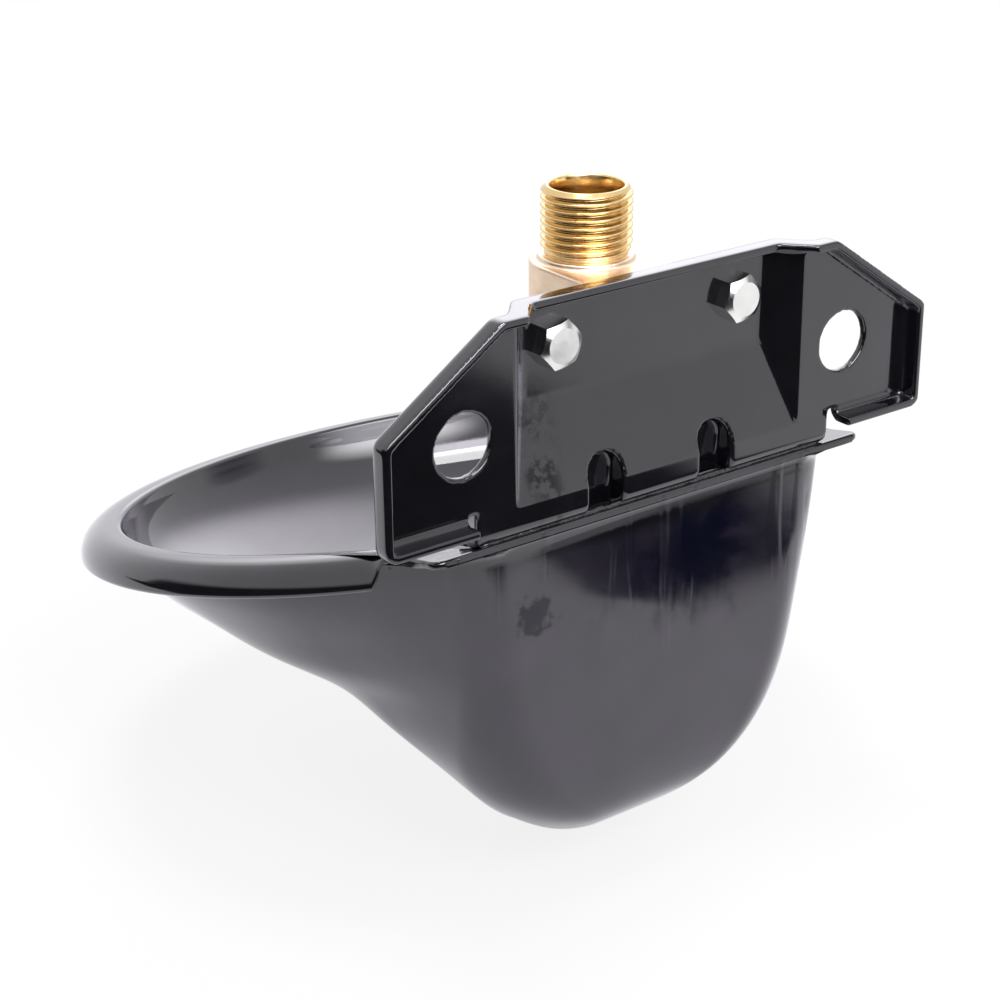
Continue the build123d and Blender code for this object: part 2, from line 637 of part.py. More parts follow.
def make_retaining_nut():
    """Nut screwed up into the body's skirt, its bore widening downwards for the swinging tube."""
    low = GASKET_LOW - RETAINER_HEIGHT
    head = hexagon(RETAINER_FLATS, low, GASKET_LOW)
    head = head & chamfer(rod(RETAINER_FLATS * 0.57, low, GASKET_LOW).edges(), RETAINER_CHAMFER)
    nut = head + rod(SOCKET_RADIUS - FIT, GASKET_LOW - FIT, SHOULDER)
    bore = Pos(0, 0, low) * Cone(NUT_BORE_BOTTOM, WASHER_BORE, SHOULDER - low,
                                 align=(Align.CENTER, Align.CENTER, Align.MIN))
    return at_valve(nut - bore)


def make_nut_gasket():
    """Flat sealing ring between the body's skirt and the nut's hexagon."""
    return at_valve(ring(GASKET_RADIUS, SOCKET_RADIUS, GASKET_LOW, BODY_BOTTOM))


if __name__ == "__main__":
    os.makedirs("parts", exist_ok=True)
    folded_bracket = make_bracket()
    nodes = {
        "bowl": make_bowl(),
        "bracket": folded_bracket,
        "bracket_welds": make_welds(folded_bracket),
        "valve_body": make_valve_body(),
        "valve_bolts": make_valve_bolts(),
        "spring_plate": make_spring_plate(),
        "inlet_strainer": make_inlet_strainer(),
        "strainer_ring": make_strainer_ring(),
        "seat_bush": make_seat_bush(),
        "seat_o_ring": make_seat_o_ring(),
        "valve_plunger": make_valve_plunger(),
        "plunger_seal": make_plunger_seal(),
        "seal_nut": make_seal_nut(),
        "return_spring": make_return_spring(),
        "lift_disc": make_lift_disc(),
        "tube_head": make_tube_head(),
        "drinking_tube": make_drinking_tube(),
        "slide_washer": make_slide_washer(),
        "retaining_nut": make_retaining_nut(),
        "nut_gasket": make_nut_gasket(),
    }
    for name, piece in nodes.items():
        export_step(piece, f"parts/{name}.step")
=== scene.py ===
import json
from math import acos, atan2, cos, pi, radians, sin, sqrt

import bmesh
import bpy
import numpy as np
from mathutils import Matrix, Vector, noise

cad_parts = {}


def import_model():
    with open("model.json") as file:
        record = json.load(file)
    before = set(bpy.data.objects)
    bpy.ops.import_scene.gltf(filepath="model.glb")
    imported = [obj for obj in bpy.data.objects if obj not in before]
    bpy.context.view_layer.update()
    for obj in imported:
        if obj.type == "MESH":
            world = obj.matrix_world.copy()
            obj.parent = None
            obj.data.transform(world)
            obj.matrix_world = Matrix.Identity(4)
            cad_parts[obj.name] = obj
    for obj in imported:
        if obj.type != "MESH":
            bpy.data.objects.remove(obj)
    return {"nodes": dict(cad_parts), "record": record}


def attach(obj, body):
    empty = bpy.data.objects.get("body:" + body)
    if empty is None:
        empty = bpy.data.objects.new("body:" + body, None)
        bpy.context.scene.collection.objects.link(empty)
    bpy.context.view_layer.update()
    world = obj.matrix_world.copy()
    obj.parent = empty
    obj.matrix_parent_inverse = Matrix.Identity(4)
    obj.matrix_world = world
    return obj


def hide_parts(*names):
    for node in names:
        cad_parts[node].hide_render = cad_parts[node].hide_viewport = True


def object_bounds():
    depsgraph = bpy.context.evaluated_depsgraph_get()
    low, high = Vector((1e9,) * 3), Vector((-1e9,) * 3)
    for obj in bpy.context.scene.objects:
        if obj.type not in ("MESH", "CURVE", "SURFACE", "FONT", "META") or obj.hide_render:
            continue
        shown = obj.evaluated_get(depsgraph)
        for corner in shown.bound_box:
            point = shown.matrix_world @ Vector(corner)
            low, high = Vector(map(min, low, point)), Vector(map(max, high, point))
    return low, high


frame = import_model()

cad_low, cad_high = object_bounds()

# Shapes are in millimetres, in the frame of the CAD model, and are written to meshes in metres.
# Materials and the studio are in metres throughout.
MM = 0.001

# Camera: the photograph's view of the object
VIEW_AZIMUTH = 143.153
VIEW_ELEVATION = 22.894
VIEW_ROLL = -0.365
VIEW_DISTANCE = 502.853
VIEW_RIGHT = -36.546
VIEW_UP = -23.986
FOCAL_PIXELS = 2274.227
IMAGE_PIXELS = 1000
SENSOR = 36.0

# Bowl: the sizes of its pressed sheet; u, v and height are taken in and square to the rim's plane
SHEET = 2.0
RIM_Z = -24.6
RIM_LEAN = radians(12.68)
LIP_WIDTH = 9.0
LIP_DROP = 7.5
LIP_ROUND = 4.8
LIP_ROLL = 7.6
ROLL_START = -15.0
ROLL_FADE = 3.0
ROUND_FADE = 3.0
MOUTH_ROUND = 1.4
JOIN_ANGLE = radians(40)
REAR_FLANGE_HALF = 62.8
REAR_FLANGE_CORNER = 3.0
SKIRT_END = -17.0
SKIRT_FULL = -18.7
ENAMEL_EDGE = 0.8
FLANGE_ROUND = 0.4
FLARE = 2.0
BOTTOM_ROUND = 4.0
BOTTOM_DEPTH = 87.0
# depth, front edge, half width, side radius, rear wall, half width at the rear, corner radius
BODY_CUTS = [
    (0.0, -164.9, 87.4, 78.0, -0.3, 55.8, 12.0),
    (8.0, -163.1, 85.5, 77.2, -2.2, 55.6, 12.6),
    (16.0, -156.7, 80.6, 74.0, -4.0, 55.0, 13.1),
    (24.0, -144.4, 73.0, 68.5, -5.7, 53.8, 13.3),
    (32.0, -128.0, 65.4, 60.3, -7.5, 52.2, 12.9),
    (40.0, -107.6, 55.6, 49.0, -9.3, 50.6, 12.7),
    (50.0, -88.9, 48.8, 35.6, -11.6, 48.8, 13.2),
    (62.0, -73.0, 40.7, 25.5, -14.3, 44.2, 14.0),
    (72.0, -66.2, 32.2, 17.6, -17.2, 35.0, 12.9),
    (80.0, -65.5, 23.4, 12.8, -23.8, 23.3, 10.9),
    (87.0, -66.2, 13.2, 7.0, -38.8, 11.2, 6.9),
]
# How the sizes of a cut change, without its depth, where its outline moves inwards
INWARDS = np.array((1, -1, -1, -1, -1, -1))

# Points on half an outline of the bowl, from the middle of the rear wall to the nose
REAR_STEPS = 22
CORNER_STEPS = 16
FLANK_STEPS = 14
SIDE_STEPS = 44
NOSE_STEPS = 26
SIDE_CROWDING = 1.6

# Rings of the bowl's skin
WALL_RINGS = 62
ROUND_STEPS = 6
MOUTH_STEPS = 8
LIP_STEPS = 10
LIP_POINTS = 44
BOTTOM_SHARES = (0.12, 0.35, 0.6, 0.82)

# Weld seam between bracket and bowl
WELD_HALF = 50.2
WELD_RADIUS = 0.8
WELD_V = -1.5
WELD_HEIGHT = 0.3
WELD_STEPS = 520
WELD_SIDES = 14
WELD_TAPER = 2.5

# Valve: its threaded inlet
VALVE_Y = -27.9
COLLAR_TOP = 25.2
INLET_TOP = 41.1
INLET_RADIUS = 10.48
INLET_BORE = 8.4
INLET_CHAMFER = 1.3
THREAD_PITCH = 1.814
THREAD_DEPTH = 1.162
THREAD_AROUND = 160
THREAD_UP = 190
RUN_OUT_START = 0.9
RUN_OUT_LENGTH = 1.4
RUN_OUT_FILLET = 0.3
THREAD_FOOT = 0.4
THREAD_LINER = 0.03
# radius and depth below the top of the inlet's rounded mouth, then of its bore
INLET_MOUTH = ((8.95, 0.0), (8.7, 0.03), (8.48, 0.18))
INLET_BORE_DEPTHS = (0.4, 4, 9)

# Even meshes of the CAD's bracket and casting: voxel size and rounds of smoothing
BRACKET_GRAIN = (0.45, 10)
CASTING_GRAIN = (0.33, 3)
BOLT_EDGE = 0.25

# Marks in the enamel of the bowl's back, with painted dark reflection in its blotches and spot,
# each from nothing to full
BACK = (-0.020, -0.006)
BLOTCH_AND_PAINTED_REFLECTION_BOTTOM = (-0.042, -0.026)
BLOTCH_AND_PAINTED_REFLECTION_TOP = (-0.0275, -0.030)
BLOTCH_AND_PAINTED_REFLECTION_SIDE = (0.034, 0.012)
RUN_HEIGHTS = (-0.072, -0.050)
SPOT_X, SPOT_Z = 0.036, -0.045
SPOT_RADIUS = (0.0125, 0.0100)
UNDER_RIM = (-0.030, -0.034)
RIM_SLOPE = -0.225
SEAM_FLARE = (-0.0305, -0.0262)
# Inside the bowl the coat's bump leans with height, which draws out what it mirrors
INSIDE = (-0.045, -0.080)
INSIDE_LEVEL = 0.06
INSIDE_LEAN = -620.0
# Dull grains beside the recess of the bracket
STAIN_LEFT = (0.026, 0.031)
STAIN_RIGHT = (0.0385, 0.036)
STAIN_TOP = (0.012, -0.002)

# Room: what the gloss mirrors, and the plain level that lights the object
DARK_SIDE = radians(55)
DARK_EDGE = (0.05, 0.15)
DARK_HEIGHTS = (0.36, 0.16)
MIRRORED_WHITE = 1.0
MIRRORED_BLACK = 0.02
PALE_LIGHT = 0.5
# heading, height, reach and strength of soft glows in the mirrored room; below zero it is a shade
GLOWS = (
    (radians(8), radians(40), radians(30), 9.0),
    (radians(-140), radians(34), radians(34), 2.0),
    (radians(-57), radians(14), radians(16), -0.85),
)

# Floor: how white the camera sees it, and where the gloss mirrors it dark
FLOOR_HALF = 4000.0
FLOOR_BELOW = 0.1
FLOOR_COLOR = (0.86, 0.86, 0.87)
FLOOR_ROUGHNESS = 0.9
CAMERA_WHITE = 0.85
DARK_FLOOR_X = (-0.205, -0.165)
DARK_FLOOR_Y = (0.150, 0.178)
DARK_FLOOR_STEP_X = (-0.080, -0.105)
DARK_FLOOR_STEP = 0.057
DARK_FLOOR_CORNER = 0.15
DARK_FLOOR_SLANT = 2.0
FLOOR_MIDDLE = (-0.01, -0.09)
# far and near radius of each shade below the object, and its depth
FLOOR_SHADES = ((0.30, 0.20, 0.24), (0.125, 0.075, 0.36))

# name, place, aim, size, watts and whether the gloss mirrors the lamp
LAMPS = (
    ("top", (0.1, -0.1, 1.25), (0, -0.05, -0.05), (0.4, 0.4), 8, True),
    ("rear", (0.07, 0.80, 0.68), (0, -0.12, -0.06), (0.55, 0.45), 6, False),
    ("side", (-0.75, -0.95, 0.55), (0, -0.08, -0.04), (0.9, 0.5), 5, False),
)


# Meshes


def link_object(name, data):
    """A new object in the scene."""
    piece = bpy.data.objects.new(name, data)
    bpy.context.scene.collection.objects.link(piece)
    return piece


def make_object(name, vertices, faces, smooth=True):
    """A mesh object from millimetre vertices."""
    mesh = bpy.data.meshes.new(name)
    mesh.from_pydata([tuple(MM * c for c in v) for v in vertices], [], faces)
    mesh.validate()
    mesh.polygons.foreach_set("use_smooth", [smooth] * len(mesh.polygons))
    return link_object(name, mesh)


def make_closed(name, vertices, faces):
    """A closed mesh object with all its faces turned outwards."""
    piece = make_object(name, vertices, faces)
    work = bmesh.new()
    work.from_mesh(piece.data)
    bmesh.ops.recalc_face_normals(work, faces=work.faces)
    work.to_mesh(piece.data)
    work.free()
    return piece


def band(low, high):
    """Faces between two equally long rings of vertex numbers."""
    count = len(low)
    return [(low[i], low[(i + 1) % count], high[(i + 1) % count], high[i]) for i in range(count)]


class Rings:
    """Vertices in equally long rings."""

    def __init__(self):
        self.vertices = []
        self.rings = []

    def add(self, points):
        start = len(self.vertices)
        self.vertices.extend(points)
        self.rings.append(range(start, len(self.vertices)))

    def skin(self):
        """Faces that join each ring to the next."""
        return [face for pair in zip(self.rings, self.rings[1:]) for face in band(*pair)]


def clamp(value):
    """A number kept between 0 and 1."""
    return min(1.0, max(0.0, value))


def quarter_turn(steps, first=0):
    """The angles of a quarter turn in even steps."""
    return [k / steps * pi / 2 for k in range(first, steps + 1)]


def softened_copy(node, name):
    """A welded copy of a CAD node, for a mesh with its edges rounded as enamel or casting does."""
    source = frame["nodes"][node]
    copy = source.copy()
    copy.data = source.data.copy()
    copy.name = name
    copy.parent = None
    bpy.context.scene.collection.objects.link(copy)
    welded = bmesh.new()
    welded.from_mesh(copy.data)
    bmesh.ops.remove_doubles(welded, verts=welded.verts, dist=1e-6)
    welded.to_mesh(copy.data)
    welded.free()
    return copy


def remesh(copy, voxel, rounds):
    """Turns a closed copy into an even, slightly rounded mesh."""
    grid = copy.modifiers.new("grid", "REMESH")
    grid.mode = "VOXEL"
    grid.voxel_size = voxel * MM
    grid.use_smooth_shade = True
    soft = copy.modifiers.new("soft", "SMOOTH")
    soft.factor = 0.5
    soft.iterations = rounds
    bpy.context.view_layer.update()
    depsgraph = bpy.context.evaluated_depsgraph_get()
    mesh = bpy.data.meshes.new_from_object(copy.evaluated_get(depsgraph))
    copy.modifiers.clear()
    copy.data = mesh
    for key in list(copy.keys()):
        del copy[key]
    mesh.polygons.foreach_set("use_smooth", [True] * len(mesh.polygons))
    return copy


# Bowl


def cut_spline():
    """Second derivatives of a natural cubic spline through the body's cuts."""
    rows = np.array(BODY_CUTS)
    depth, values = rows[:, 0], rows[:, 1:]
    step = np.diff(depth)
    count = len(depth)
    system = np.eye(count)
    right = np.zeros_like(values)
    for i in range(1, count - 1):
        system[i, i - 1:i + 2] = step[i - 1], 2 * (step[i - 1] + step[i]), step[i]
        slope_after = (values[i + 1] - values[i]) / step[i]
        slope_before = (values[i] - values[i - 1]) / step[i - 1]
        right[i] = 6 * (slope_after - slope_before)
    return depth, values, np.linalg.solve(system, right)


CUT_DEPTH, CUT_VALUES, CUT_BEND = cut_spline()


def cut_at(depth):
    """Front, half width, side radius, rear, rear half width and corner radius at a depth."""
    i = int(np.clip(np.searchsorted(CUT_DEPTH, depth) - 1, 0, len(CUT_DEPTH) - 2))
    step = CUT_DEPTH[i + 1] - CUT_DEPTH[i]
    a = (CUT_DEPTH[i + 1] - depth) / step
    b = 1 - a
    bend = ((a ** 3 - a) * CUT_BEND[i] + (b ** 3 - b) * CUT_BEND[i + 1]) * step ** 2 / 6
    return a * CUT_VALUES[i] + b * CUT_VALUES[i + 1] + bend


def arc_points(centre, radius, start, end, steps, crowding=1.0):
    """Points on an arc after its start, closer together at the start where crowding is above 1."""
    points = []
    for k in range(1, steps + 1):
        angle = start + (end - start) * (k / steps) ** crowding
        points.append((centre[0] + radius * cos(angle), centre[1] + radius * sin(angle)))
    return points


def line_points(start, end, steps):
    """Points on a line after its start."""
    return [(start[0] + (end[0] - start[0]) * k / steps, start[1] + (end[1] - start[1]) * k / steps)
            for k in range(1, steps + 1)]


def whole_loop(half):
    """The closed loop of half an outline and its mirror image."""
    return half + [(-u, v) for u, v in half[-2:0:-1]]


def side_circle(front, side, side_arc):
    """Offset and v of the side arc's centre, and how far the nose's centre lies from it."""
    offset = side - side_arc
    spread = offset / sin(JOIN_ANGLE)
    return offset, front + side_arc + spread - spread * cos(JOIN_ANGLE), spread


def body_loop(depth, inset):
    """Outline of the body at a depth, moved inwards."""
    front, side, side_arc, rear, rear_half, corner = cut_at(depth) + inset * INWARDS
    offset, side_v, spread = side_circle(front, side, side_arc)
    corner_u, corner_v = rear_half - corner, rear - corner
    heading = atan2(corner_v - side_v, corner_u - offset)
    apart = sqrt((corner_u - offset) ** 2 + (corner_v - side_v) ** 2)
    normal = heading - acos((side_arc - corner) / apart)
    join = JOIN_ANGLE - pi / 2
    nose = side_arc + spread
    half = [(0, rear)] + line_points((0, rear), (corner_u, rear), REAR_STEPS)
    half += arc_points((corner_u, corner_v), corner, pi / 2, normal, CORNER_STEPS)
    flank_end = (offset + side_arc * cos(normal), side_v + side_arc * sin(normal))
    half += line_points(half[-1], flank_end, FLANK_STEPS)
    half += arc_points((offset, side_v), side_arc, normal, join, SIDE_STEPS, SIDE_CROWDING)
    half += arc_points((0, front + nose), nose, join, -pi / 2, NOSE_STEPS)
    return whole_loop(half)


def rim_loop():
    """Outline of the rim, lip round the front and flat flange behind, and its inward directions."""
    front, side, side_arc = cut_at(0)[:3]
    offset, side_v, spread = side_circle(front, side, side_arc)
    lip_arc = side_arc + LIP_WIDTH
    join = JOIN_ANGLE - pi / 2
    nose = lip_arc + spread
    corner = REAR_FLANGE_CORNER
    meet_angle = acos((REAR_FLANGE_HALF - offset) / lip_arc)
    meet = (REAR_FLANGE_HALF, side_v + lip_arc * sin(meet_angle))
    centre = (REAR_FLANGE_HALF - corner, -corner)
    half = [(0, 0)] + line_points((0, 0), (centre[0], 0), REAR_STEPS)
    half += arc_points(centre, corner, pi / 2, 0, CORNER_STEPS)
    half += line_points((REAR_FLANGE_HALF, -corner), meet, FLANK_STEPS)
    half += arc_points((offset, side_v), lip_arc, meet_angle, join, SIDE_STEPS, SIDE_CROWDING)
    nose_centre = (0, side_v + spread * cos(JOIN_ANGLE))
    half += arc_points(nose_centre, nose, join, -pi / 2, NOSE_STEPS)
    loop = np.array(whole_loop(half))
    ahead, behind = np.roll(loop, -1, axis=0), np.roll(loop, 1, axis=0)
    along = ahead - behind
    along /= np.linalg.norm(along, axis=1)[:, None]
    inward = np.stack([along[:, 1], -along[:, 0]], axis=1)
    return loop, inward


def resample(points, count):
    """Evenly spaced points along a polyline."""
    points = np.array(points)
    steps = np.linalg.norm(np.diff(points, axis=0), axis=1) + 1e-9
    length = np.concatenate([[0], np.cumsum(steps)])
    at = np.linspace(0, length[-1], count)
    return np.stack([np.interp(at, length, points[:, k]) for k in (0, 1)], axis=1)


def lip_section(v):
    """Cross-section of the rim: points (inset, height) from the top, over the edge, to below."""
    roll = clamp((ROLL_START - v) / ROLL_FADE)
    drop = SHEET + (LIP_DROP - SHEET) * clamp((SKIRT_END - v) / (SKIRT_END - SKIRT_FULL))
    share = min(1.0, (drop - SHEET) / ROUND_FADE)
    reach = ENAMEL_EDGE + (LIP_ROLL - ENAMEL_EDGE) * roll
    fall = min(reach, drop - ENAMEL_EDGE)
    inner_round = FLANGE_ROUND + (LIP_ROUND - SHEET - FLANGE_ROUND) * share
    points = []
    for angle in quarter_turn(LIP_STEPS):
        points.append((reach * (1 - sin(angle)), -fall * (1 - cos(angle))))
    edge = SHEET / 2
    for k in range(LIP_STEPS + 1):
        angle = k / LIP_STEPS * pi
        lift = edge * (1 - sin(angle))
        if k > LIP_STEPS / 2:
            lift *= share
        points.append((edge * (1 - cos(angle)), -drop + lift))
    low = max(-drop + edge * share, -drop)
    points.append((SHEET, min(-SHEET, max(low, -SHEET - inner_round * share))))
    for angle in quarter_turn(LIP_STEPS, 1):
        points.append((SHEET + inner_round * (1 - cos(angle)),
                       -SHEET - inner_round * share * (1 - sin(angle))))
    return resample(points, LIP_POINTS)


def narrowed(section, room):
    """A section with its part below the edge squeezed to the room before the wall."""
    section = section.copy()
    below = np.arange(len(section)) > np.argmin(section[:, 0])
    section[below, 0] *= min(1.0, room / section[-1, 0])
    return section


def in_frame(u, v, height):
    """A point given in the rim's plane and square to it, in the frame of the CAD model."""
    return (u,
            cos(RIM_LEAN) * v - sin(RIM_LEAN) * height,
            RIM_Z + sin(RIM_LEAN) * v + cos(RIM_LEAN) * height)


def shrunk_ring(depth, inset, share):
    """A ring of the flat bottom, drawn in towards its middle."""
    loop = np.array(body_loop(depth, inset))
    middle = loop.mean(axis=0)
    return [tuple(middle + (p - middle) * share) for p in loop], depth


def inner_rings():
    """Rings of the bowl's inside, from near the bottom to the flared mouth."""
    floor = BOTTOM_DEPTH - SHEET
    rings = [shrunk_ring(floor, SHEET + BOTTOM_ROUND, share) for share in BOTTOM_SHARES]
    for angle in quarter_turn(ROUND_STEPS):
        depth = floor - BOTTOM_ROUND * (1 - cos(angle))
        rings.append((body_loop(depth, SHEET + BOTTOM_ROUND * (1 - sin(angle))), depth))
    for depth in np.linspace(floor - BOTTOM_ROUND - 1.2, MOUTH_ROUND + 1, WALL_RINGS):
        rings.append((body_loop(depth, SHEET), depth))
    for angle in quarter_turn(MOUTH_STEPS):
        loop = body_loop(0.01, SHEET - MOUTH_ROUND * (1 - cos(angle)))
        rings.append((loop, MOUTH_ROUND * (1 - sin(angle))))
    return rings


def room_under_rim(rim, inward):
    """Distance from each point of the rim's edge to the body's wall below it."""
    wall = np.array(body_loop(SHEET, 0))
    return np.maximum(np.sum((wall - rim) * inward, axis=1), 0.2)


def outer_rings(room):
    """Rings of the bowl's outside, from under the flange to near the bottom."""
    rings = []
    share = np.minimum(1.0, 0.45 * room / FLARE)[:, None]
    for angle in quarter_turn(ROUND_STEPS):
        depth = SHEET + FLARE * (1 - cos(angle))
        wall = np.array(body_loop(depth, 0))
        wide = np.array(body_loop(depth, -FLARE * (1 - sin(angle))))
        rings.append((wall + share * (wide - wall), depth))
    low = BOTTOM_DEPTH - BOTTOM_ROUND
    for depth in np.linspace(SHEET + FLARE + 1, low - 1.2, WALL_RINGS):
        rings.append((body_loop(depth, 0), depth))
    for angle in quarter_turn(ROUND_STEPS):
        depth = low + BOTTOM_ROUND * sin(angle)
        rings.append((body_loop(depth, BOTTOM_ROUND * (1 - cos(angle))), depth))
    for share in reversed(BOTTOM_SHARES):
        rings.append(shrunk_ring(BOTTOM_DEPTH, BOTTOM_ROUND, share))
    return rings


def make_bowl():
    """The pressed bowl as one closed skin."""
    shell = Rings()
    rim, inward = rim_loop()
    room = room_under_rim(rim, inward)
    sections = [narrowed(lip_section(v), 0.5 * gap) for (u, v), gap in zip(rim, room)]

    def lip_ring(k):
        return [(*(p + n * s[k, 0]), s[k, 1]) for p, n, s in zip(rim, inward, sections)]

    def add_flat(start, end, shares, height):
        for share in shares:
            shell.add([in_frame(u, v, height) for u, v in start + (end - start) * share])

    for loop, depth in inner_rings():
        shell.add([in_frame(u, v, -depth) for u, v in loop])
    mouth = np.array(body_loop(0.01, SHEET - MOUTH_ROUND))
    add_flat(mouth, np.array(lip_ring(0))[:, :2], (0.25, 0.5, 0.75), 0)
    for k in range(LIP_POINTS):
        shell.add([in_frame(*point) for point in lip_ring(k)])
    outside = outer_rings(room)
    add_flat(np.array(lip_ring(-1))[:, :2], np.array(outside[0][0]), (0.33, 0.67), -SHEET)
    for loop, depth in outside:
        shell.add([in_frame(u, v, -depth) for u, v in loop])

    vertices, faces = shell.vertices, shell.skin()
    inner_end, outer_end = shell.rings[0], shell.rings[-1]
    for ring in (inner_end, outer_end):
        centre = len(vertices)
        vertices.append(tuple(np.mean([vertices[i] for i in ring], axis=0)))
        count = len(ring)
        spokes = [(ring[i], ring[(i + 1) % count], centre) for i in range(count)]
        faces += spokes if ring is outer_end else [spoke[::-1] for spoke in spokes]
    return make_closed("bowl_skin", vertices, faces)


# Weld seam


def unevenness(x, y, z):
    """Smooth noise at a point, between about -1 and 1."""
    return noise.noise(Vector((x, y, z)))


def make_weld():
    """An uneven enamelled bead along the seam."""
    bead = Rings()
    for i in range(WELD_STEPS + 1):
        x = -WELD_HALF + 2 * WELD_HALF * i / WELD_STEPS
        swell = 1 + 0.14 * unevenness(x * 0.35, 3.1, 0) + 0.08 * unevenness(x * 1.9, 7.7, 0)
        end = min(1.0, (WELD_HALF - abs(x)) / WELD_TAPER + 0.25)
        shift = 0.2 * unevenness(x * 0.5, 0.4, 2.0)
        ring = []
        for k in range(WELD_SIDES):
            angle = 2 * pi * k / WELD_SIDES
            grain = 1 + 0.07 * unevenness(x * 2.4, 2 * cos(angle), 2 * sin(angle))
            radius = WELD_RADIUS * swell * end * grain
            ring.append(in_frame(x, WELD_V + radius * cos(angle),
                                 WELD_HEIGHT + shift + radius * sin(angle)))
        bead.add(ring)
    ends = [tuple(bead.rings[0]), tuple(reversed(bead.rings[-1]))]
    return make_closed("weld_bead", bead.vertices, bead.skin() + ends)


# Valve body and its thread


def make_valve_block():
    """The casting, its inlet turned down to carry the thread."""
    copy = softened_copy("valve_body", "valve_casting")
    root = (INLET_RADIUS - THREAD_DEPTH - 0.05) * MM
    for vertex in copy.data.vertices:
        x, y, z = vertex.co
        radius = sqrt(x * x + (y - VALVE_Y * MM) ** 2)
        if z > (COLLAR_TOP - 0.1) * MM and root < radius < (INLET_RADIUS + 0.1) * MM:
            vertex.co.x = x * root / radius
            vertex.co.y = VALVE_Y * MM + (y - VALVE_Y * MM) * root / radius
        if z > (INLET_TOP - 0.01) * MM:
            vertex.co.z = z - 0.3 * MM
    return remesh(copy, *CASTING_GRAIN)


def thread_profile(share):
    """Height of a rounded V thread over one pitch, from 0 at the root to 1 at the crest."""
    wave = 1 - abs(2 * (share % 1.0) - 1)
    return 3 * wave ** 2 - 2 * wave ** 3


def thread_radius(angle, z, low):
    """Radius of the inlet's outside, with the thread's run-out and the chamfered end."""
    crest = thread_profile((z - low) / THREAD_PITCH - angle / (2 * pi))
    run_out = clamp((z - low - RUN_OUT_START) / RUN_OUT_LENGTH)
    root = INLET_RADIUS - THREAD_DEPTH
    radius = root + THREAD_DEPTH * crest * run_out + RUN_OUT_FILLET * (1 - run_out)
    return min(radius, INLET_RADIUS - INLET_CHAMFER + (INLET_TOP - z))


def make_thread():
    """The inlet's outside thread, chamfered end and bore."""
    sleeve = Rings()
    angles = [2 * pi * k / THREAD_AROUND for k in range(THREAD_AROUND)]
    low, high = COLLAR_TOP - THREAD_FOOT, INLET_TOP
    bore = INLET_BORE - THREAD_LINER

    def add_ring(radii, z):
        sleeve.add([(radius * cos(angle), VALVE_Y + radius * sin(angle), z)
                    for angle, radius in zip(angles, radii)])

    add_ring([bore] * THREAD_AROUND, low)
    for i in range(THREAD_UP + 1):
        z = low + (high - low) * i / THREAD_UP
        add_ring([thread_radius(angle, z, low) for angle in angles], z)
    for radius, depth in (*INLET_MOUTH, *((bore, depth) for depth in INLET_BORE_DEPTHS)):
        add_ring([radius] * THREAD_AROUND, high - depth)
    faces = sleeve.skin() + band(sleeve.rings[-1], sleeve.rings[0])
    return make_closed("inlet_thread", sleeve.vertices, faces)


# Materials


